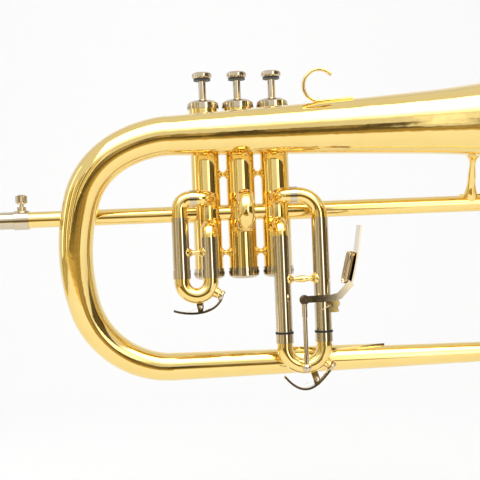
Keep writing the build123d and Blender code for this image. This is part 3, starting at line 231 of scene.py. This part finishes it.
# ---- Trigger's return spring ----
# Hard-drawn nickel-silver wire, wound in a close coil round the pivot, with a leg on each side.
# It is drawn at rest and rides on the horn, so its free leg stays still when the lever turns.
def wire(name, points, radius, finish, body):
    """A round wire with closed ends along the points."""
    line = bpy.data.curves.new(name + "_line", "CURVE")
    line.dimensions = "3D"
    line.bevel_depth = radius
    line.bevel_resolution = 4
    line.use_fill_caps = True
    run = line.splines.new("POLY")
    run.points.add(len(points) - 1)
    for point, place in zip(run.points, points):
        point.co = (*place, 1.0)
    held = bpy.data.objects.new(name + "_line", line)
    bpy.context.scene.collection.objects.link(held)
    bpy.context.view_layer.update()
    baked = bpy.data.meshes.new_from_object(held.evaluated_get(bpy.context.evaluated_depsgraph_get()))
    bpy.data.objects.remove(held)
    for face in baked.polygons:
        face.use_smooth = True
    baked.materials.clear()
    baked.materials.append(finish)
    made = bpy.data.objects.new(name, baked)
    bpy.context.scene.collection.objects.link(made)
    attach(made, body)


def coil(centre, radius, start_y, end_y, turns, start_angle, legs):
    """Points of a coil about a level axis along Y, with a straight leg at each end."""
    steps = int(turns * 22)
    path = []
    for i in range(steps + 1):
        share = i / steps
        angle = math.radians(start_angle) + share * turns * 2 * math.pi
        path.append((centre[0] + radius * math.cos(angle), start_y + (end_y - start_y) * share,
                     centre[1] + radius * math.sin(angle)))
    return [legs[0]] + path + [legs[1]]


pivot = (0.0632, -0.0697)  # the lever's pin, as X and Z
coil_front, coil_back = -0.0308, -0.0288
coil_r, coil_turns, coil_start = 0.0027, 3.75, 200
trigger_wire_r = 0.00028
front_leg = (pivot[0] - 0.0095, coil_front, pivot[1] - 0.0045)
back_leg = (pivot[0] + 0.0030, coil_back, pivot[1] - 0.0065)
wire("trigger_spring",
     coil(pivot, coil_r, coil_front, coil_back, coil_turns, coil_start, [front_leg, back_leg]),
     trigger_wire_r, nickel, "horn")

# ---- Trigger's cupped thumb rest ----
# A strip of nickel silver, dished across its width and soldered on the lever's lower half.
# It is what the hand pulls, so its face is worn smooth.
lever_foot = Vector((0.0758, 0.0, -0.0552))
lever_bend = Vector((0.0806, 0.0, -0.0357))
along = (lever_bend - lever_foot).normalized()
away = Vector((-along.z, 0.0, along.x))
rest_start, rest_length = -0.0015, 0.0235  # along the lever from its foot
rest_middle_y, half_width = -0.026, 0.0086
lift, dish, half_arc = 0.0007, 0.0094, 62  # off the lever, the dish's depth factor, and degrees
rest_thickness, eased_edge = 0.0011, 0.0003
rows, across = 14, 20
mesh = bmesh.new()
grid = []
for i in range(rows + 1):
    share = i / rows
    spine = lever_foot + along * (rest_start + rest_length * share)
    round_off = math.sqrt(max(0.0, 1 - abs(2 * share - 1) ** 6)) * 0.3 + 0.7
    row = []
    for k in range(across + 1):
        turn = math.radians(-half_arc + 2 * half_arc * k / across)
        row.append(spine + Vector((0, rest_middle_y + half_width * math.sin(turn) * round_off, 0))
                   + away * (lift + dish * (1 - math.cos(turn))))
    grid.append([mesh.verts.new(p) for p in row])
for i in range(rows):
    for k in range(across):
        mesh.faces.new((grid[i][k], grid[i + 1][k], grid[i + 1][k + 1], grid[i][k + 1]))
bmesh.ops.recalc_face_normals(mesh, faces=mesh.faces)
rest_mesh = bpy.data.meshes.new("trigger_thumb_rest")
mesh.to_mesh(rest_mesh)
mesh.free()
thumb_rest = bpy.data.objects.new("trigger_thumb_rest", rest_mesh)
bpy.context.scene.collection.objects.link(thumb_rest)
thick = thumb_rest.modifiers.new("thick", "SOLIDIFY")
thick.thickness = rest_thickness
thick.offset = 0.0
eased = thumb_rest.modifiers.new("eased", "BEVEL")
eased.width = eased_edge
eased.segments = 2
eased.limit_method = "ANGLE"
bpy.context.view_layer.update()
finished = thumb_rest.evaluated_get(bpy.context.evaluated_depsgraph_get())
thumb_rest.data = bpy.data.meshes.new_from_object(finished)
thumb_rest.modifiers.clear()
for face in thumb_rest.data.polygons:
    face.use_smooth = True
thumb_rest.data.materials.append(nickel)
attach(thumb_rest, "trigger")

# ---- Water keys: nipple collars, cups and corks ----
# Each nipple stands in a turned brass collar, and the key's nickel cup holds a cork against it.
# The cork is pressed in, and the collar is soldered on the bow.
# Cork: light brown with darker specks of about 0.7 mm, and no shine.
cork, tree, out, where = new_material("cork")
cells = add(tree, "ShaderNodeTexVoronoi", {"Vector": where, "Scale": 1500.0})
specks = add(tree, "ShaderNodeMix",
             {0: cells.outputs["Distance"], 6: linear("#8a5f38"), 7: linear("#caa06a")}, data_type="RGBA")
bark = add(tree, "ShaderNodeBsdfPrincipled", {"Base Color": specks.outputs[2], "Roughness": 0.85})
tree.links.new(bark.outputs["BSDF"], out.inputs["Surface"])


def turned(name, outline, foot, axis, finish, body):
    """A ring turned from a closed outline of (radius, height) about an axis from its foot."""
    side = axis.orthogonal().normalized()
    other = axis.cross(side)
    count = 48
    corners, faces = [], []
    for i in range(count):
        angle = 2 * math.pi * i / count
        outwards = side * math.cos(angle) + other * math.sin(angle)
        corners += [foot + outwards * r + axis * h for r, h in outline]
    rows = len(outline)
    for i in range(count):
        for k in range(rows):
            a, b = i * rows + k, i * rows + (k + 1) % rows
            c, d = (i + 1) % count * rows + (k + 1) % rows, (i + 1) % count * rows + k
            faces.append((a, b, c, d))
    shape = bpy.data.meshes.new(name)
    shape.from_pydata(corners, [], faces)
    work = bmesh.new()
    work.from_mesh(shape)
    bmesh.ops.recalc_face_normals(work, faces=work.faces)
    work.to_mesh(shape)
    work.free()
    shape.materials.append(finish)
    made = bpy.data.objects.new(name, shape)
    bpy.context.scene.collection.objects.link(made)
    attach(made, body)


# Outlines as (radius, height above the bow's skin).
collar_outline = [(0.0024, -0.0012), (0.0040, -0.0012), (0.0040, 0.0006), (0.0036, 0.0010),
                  (0.0036, 0.0014), (0.0039, 0.0018), (0.0037, 0.0024), (0.0024, 0.0024)]
cork_outline = [(0.0004, 0.0031), (0.0030, 0.0031), (0.0030, 0.0038), (0.0004, 0.0038)]
cup_outline = [(0.0031, 0.0036), (0.0039, 0.0036), (0.0042, 0.0039), (0.0042, 0.0048),
               (0.0039, 0.0052), (0.0037, 0.0058), (0.0031, 0.0058)]
slide_y = -0.024  # both slides hang in this plane
# The slide, the middle of its bow's bend as X and Z, the bend's radius, and the nipple's slope in degrees.
for number, middle, bend_r, slope in (
    (1, (-0.0367, -0.0500), 0.0105, -32.0),
    (3, (0.0407, -0.1008), 0.0145, -39.0),
):
    axis = Vector((math.cos(math.radians(slope)), 0, math.sin(math.radians(slope))))
    low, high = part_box(f"slide_{number}_bow")
    foot = Vector((middle[0], slide_y, middle[1])) + axis * (bend_r + (high.y - low.y) / 2)
    turned(f"nipple_collar_{number}", collar_outline,
           foot, axis, brass, f"slide_{number}")
    turned(f"water_key_cork_{number}", cork_outline,
           foot, axis, cork, f"key_{number}")
    turned(f"water_key_cup_{number}", cup_outline,
           foot, axis, nickel, f"key_{number}")

# ---- Water keys: wire springs and pin ends ----
# Hard-drawn wire, wound round the end of each hinge pin in front of the key.
# One leg bears on the bow, and the other lies along the lever and holds the key shut.
pin_outline = [(0.0001, 0.0), (0.0009, 0.0), (0.0009, 0.0017), (0.0013, 0.0018),
               (0.0013, 0.0022), (0.0001, 0.0024)]
pin_y = -0.0262  # the front of the key's ear
spring_front, spring_back = -0.0275, -0.0267
spring_r, spring_turns, spring_start = 0.0012, 2.6, 150
key_wire_r = 0.00018
# The slide, its hinge pin, and where the two legs end, all as X and Z.
for number, (x, z), lever_end, bow_end in (
    (1, (-0.03471, -0.06890), (-0.0440, -0.0722), (-0.0332, -0.0668)),
    (3, (0.04839, -0.12532), (0.0387, -0.1288), (0.0496, -0.1229)),
):
    turned(f"water_key_pin_end_{number}", pin_outline,
           Vector((x, pin_y, z)), Vector((0, -1, 0)), nickel, f"key_{number}")
    legs = [(lever_end[0], spring_front, lever_end[1]), (bow_end[0], spring_back, bow_end[1])]
    wire(f"water_key_spring_{number}",
         coil((x, z), spring_r, spring_front, spring_back, spring_turns, spring_start, legs),
         key_wire_r, nickel, f"slide_{number}")

# ---- Floor and backdrop ----
# A pale sweep: the floor rises behind the horn in one curve.
# It isn't part of the horn.
paper, tree, out, where = new_material("backdrop_paper")
card = add(tree, "ShaderNodeBsdfPrincipled", {"Base Color": linear("#f4f4f4"), "Roughness": 0.9})
tree.links.new(card.outputs["BSDF"], out.inputs["Surface"])
floor_z, sweep_r = -0.30, 0.9
bend_y, bend_z = 0.9, 0.60  # the centre that the floor rises about
profile = [(-4.0, floor_z), (bend_y, floor_z)]
for step in range(6, 91, 6):
    angle = math.radians(step)
    profile.append((bend_y + sweep_r * math.sin(angle), bend_z - sweep_r * math.cos(angle)))
profile += [(1.8, 4.0)]
last = len(profile)
sweep_mesh = bpy.data.meshes.new("backdrop")
sweep_mesh.from_pydata([(x, y, z) for x in (-5.0, 5.0) for y, z in profile], [],
                       [(i, i + 1, last + i + 1, last + i) for i in range(last - 1)])
for face in sweep_mesh.polygons:
    face.use_smooth = True
sweep_mesh.materials.append(paper)
backdrop = bpy.data.objects.new("backdrop", sweep_mesh)
bpy.context.scene.collection.objects.link(backdrop)

# ---- Studio: lamps, painted reflections and room ----
# Big glowing cards above and to the right, seen only in reflections, paint the broad pale streaks along every
# tube as painted reflections of softboxes.
# Dimmer glowing cards low in front paint the deep gold bands between them as painted reflections of a darker
# room. The lamps only light surfaces.
def lamp(name, place, aim, width, height, power):
    """A soft light that never shows in a reflection."""
    light = bpy.data.lights.new(name, "AREA")
    light.shape = "RECTANGLE"
    light.size, light.size_y = width, height
    light.energy = power
    made = bpy.data.objects.new(name, light)
    made.location = place
    made.rotation_euler = (Vector(aim) - Vector(place)).to_track_quat("-Z", "Y").to_euler()
    made.visible_camera = False
    made.visible_glossy = False
    bpy.context.scene.collection.objects.link(made)


def painted_reflection_card(name, corners, code, low, high, streak=0.0, stripes=(9.0, 9.0, 0.6)):
    """A painted reflection: a glowing card that only shows in reflections and lights nothing. Its glow goes
    from low at the first edge to high further across, and streak says how much it varies, as painted
    reflections of the things in a room."""
    made, tree, out, where = new_material(name + "_paper")
    span = Vector(corners[3]) - Vector(corners[0])
    start = add(tree, "ShaderNodeVectorMath", {0: where, 1: corners[0]}, operation="SUBTRACT")
    share = add(tree, "ShaderNodeVectorMath", {0: start.outputs["Vector"], 1: span / span.length_squared},
                operation="DOT_PRODUCT")
    fade = add(tree, "ShaderNodeMapRange",
               {"Value": share.outputs["Value"], "From Max": 0.45, "To Min": low, "To Max": high},
               interpolation_type="SMOOTHSTEP")
    # Painted reflections of things in a room: streaks of brighter and dimmer glow across the card.
    drawn = add(tree, "ShaderNodeMapping", {"Vector": where, "Scale": stripes})
    painted_room_reflection_noise = add(tree, "ShaderNodeTexNoise",
                     {"Vector": drawn.outputs["Vector"], "Scale": 1.0, "Detail": 2.0})
    streaks = add(tree, "ShaderNodeMapRange",
                  {"Value": painted_room_reflection_noise.outputs["Fac"], "From Min": 0.36, "From Max": 0.66,
                   "To Min": 1.0 - streak, "To Max": 1.0 + 2.2 * streak})
    strength = add(tree, "ShaderNodeMath", {0: fade.outputs["Result"], 1: streaks.outputs["Result"]},
                   operation="MULTIPLY")
    glow = add(tree, "ShaderNodeEmission", {"Color": linear(code), "Strength": strength.outputs["Value"]})
    tree.links.new(glow.outputs["Emission"], out.inputs["Surface"])
    mesh = bpy.data.meshes.new(name)
    mesh.from_pydata(corners, [], [(0, 1, 2, 3)])
    mesh.materials.append(made)
    held = bpy.data.objects.new(name, mesh)
    held.visible_camera = False
    held.visible_diffuse = False
    held.visible_shadow = False
    bpy.context.scene.collection.objects.link(held)


lamp("lamp_above", (-0.1, -0.80, 0.86), (0, 0, 0), 1.7, 1.0, 9)
lamp("lamp_backdrop", (0.1, 0.55, 1.5), (0.0, 1.75, 0.25), 3.0, 0.8, 5)
# Painted highlights: glowing cards seen only in reflections, standing for softboxes and a bright strip; they
# light nothing.
painted_reflection_card("softbox_above",
               [(-1.0, -1.17, 0.41), (0.9, -1.17, 0.41),
                (0.9, -0.33, 1.20), (-1.0, -0.33, 1.20)],
               "#fffdf6", 0.9, 4.5)
painted_reflection_card("softbox_right",
               [(0.34, -1.58, -0.28), (0.34, -1.58, 0.80),
                (0.84, -1.50, 0.80), (0.84, -1.50, -0.28)],
               "#fffdf8", 1.5, 2.6)
painted_reflection_card("strip_left",
               [(-1.50, -0.02, -0.25), (-1.50, -0.02, 0.9),
                (-1.50, 0.22, 0.9), (-1.50, 0.22, -0.25)],
               "#ffffff", 1.8, 1.8)
# Painted reflections of a dim room: dull glowing cards seen only in reflections, for the dark-gold bands on
# the left.
painted_reflection_card("dark_left",
               [(-1.45, -0.08, -0.29), (-1.45, -0.08, 0.30),
                (-0.66, -1.5, 0.30), (-0.66, -1.5, -0.29)],
               "#8f8668", 1.7, 1.5, 0.8)
painted_reflection_card("dark_left_floor",
               [(-0.80, 0.5, -0.291), (-0.80, -1.3, -0.291),
                (-2.2, -1.3, -0.291), (-2.2, 0.5, -0.291)],
               "#8a8060", 2.6, 1.4, 0.5, (2.0, 9.0, 1.0))
# Painted highlights: three thin bright glowing slats seen only in reflections.
slat_low, slat_high = -0.28, 0.34
for number, (left, front, glow) in enumerate([(-1.18, -0.52, 1.7), (-0.93, -0.96, 1.3), (-0.66, -1.42, 1.5)]):
    right, near = left + 0.035, front - 0.06
    painted_reflection_card(f"light_slat_{number}",
                   [(left, front, slat_low), (left, front, slat_high),
                    (right, near, slat_high), (right, near, slat_low)],
                   "#fff9ec", glow, glow)
# Painted reflections of a dim room to the right, in front and on the floor: dull glowing cards seen only in
# reflections.
painted_reflection_card("dark_right",
               [(0.88, -1.50, -0.29), (0.88, -1.50, 0.40),
                (1.48, -0.40, 0.40), (1.48, -0.40, -0.29)],
               "#50483a", 1.0, 1.0, 0.8)
painted_reflection_card("dim_right",
               [(1.48, -0.38, -0.29), (1.48, -0.38, 0.40),
                (1.48, 0.60, 0.40), (1.48, 0.60, -0.29)],
               "#8a8372", 1.0, 1.4, 0.7)
painted_reflection_card("dark_front",
               [(-0.64, -1.6, -0.30), (0.33, -1.6, -0.30),
                (0.33, -1.6, 0.05), (-0.64, -1.6, 0.05)],
               "#6b5f48", 1.1, 1.4, 0.7)
painted_reflection_card("dark_floor",
               [(-1.1, -0.50, -0.292), (0.28, -0.50, -0.292),
                (0.28, -1.6, -0.292), (-1.1, -1.6, -0.292)],
               "#7a6a45", 2.4, 0.55, 0.5, (0.8, 12.0, 1.0))

world = bpy.data.worlds.new("studio")
world.use_nodes = True
bpy.context.scene.world = world
world.node_tree.nodes.clear()
seen = add(world.node_tree, "ShaderNodeLightPath")
room = add(world.node_tree, "ShaderNodeBackground", {"Color": linear("#ffffff"), "Strength": 0.85})
clear = add(world.node_tree, "ShaderNodeBackground", {"Color": linear("#fdfdfd"), "Strength": 1.0})
both = add(world.node_tree, "ShaderNodeMixShader", {0: seen.outputs["Is Camera Ray"], 1: room.outputs[0],
                                                    2: clear.outputs[0]})
add(world.node_tree, "ShaderNodeOutputWorld", {"Surface": both.outputs[0]})
bpy.context.scene.view_settings.view_transform = "Standard"

# ---- Camera ----
# It looks level at the horn's side, a little from its mouthpiece end and slightly tilted.
target = Vector((-0.0022, 0.0, -0.0211))
swing, tilt = math.radians(4), math.radians(-2.3)
distance = 0.728
direction = Vector((math.sin(swing), math.cos(swing), 0.0))
lens = bpy.data.cameras.new("camera")
lens.lens = 72.2
lens.sensor_width = 36
lens.clip_start = 0.01
camera = bpy.data.objects.new("camera", lens)
camera.location = target - direction * distance
camera.rotation_euler = direction.to_track_quat("-Z", "Y").to_euler()
camera.rotation_euler.rotate_axis("Z", tilt)
bpy.context.scene.collection.objects.link(camera)
bpy.context.scene.camera = camera
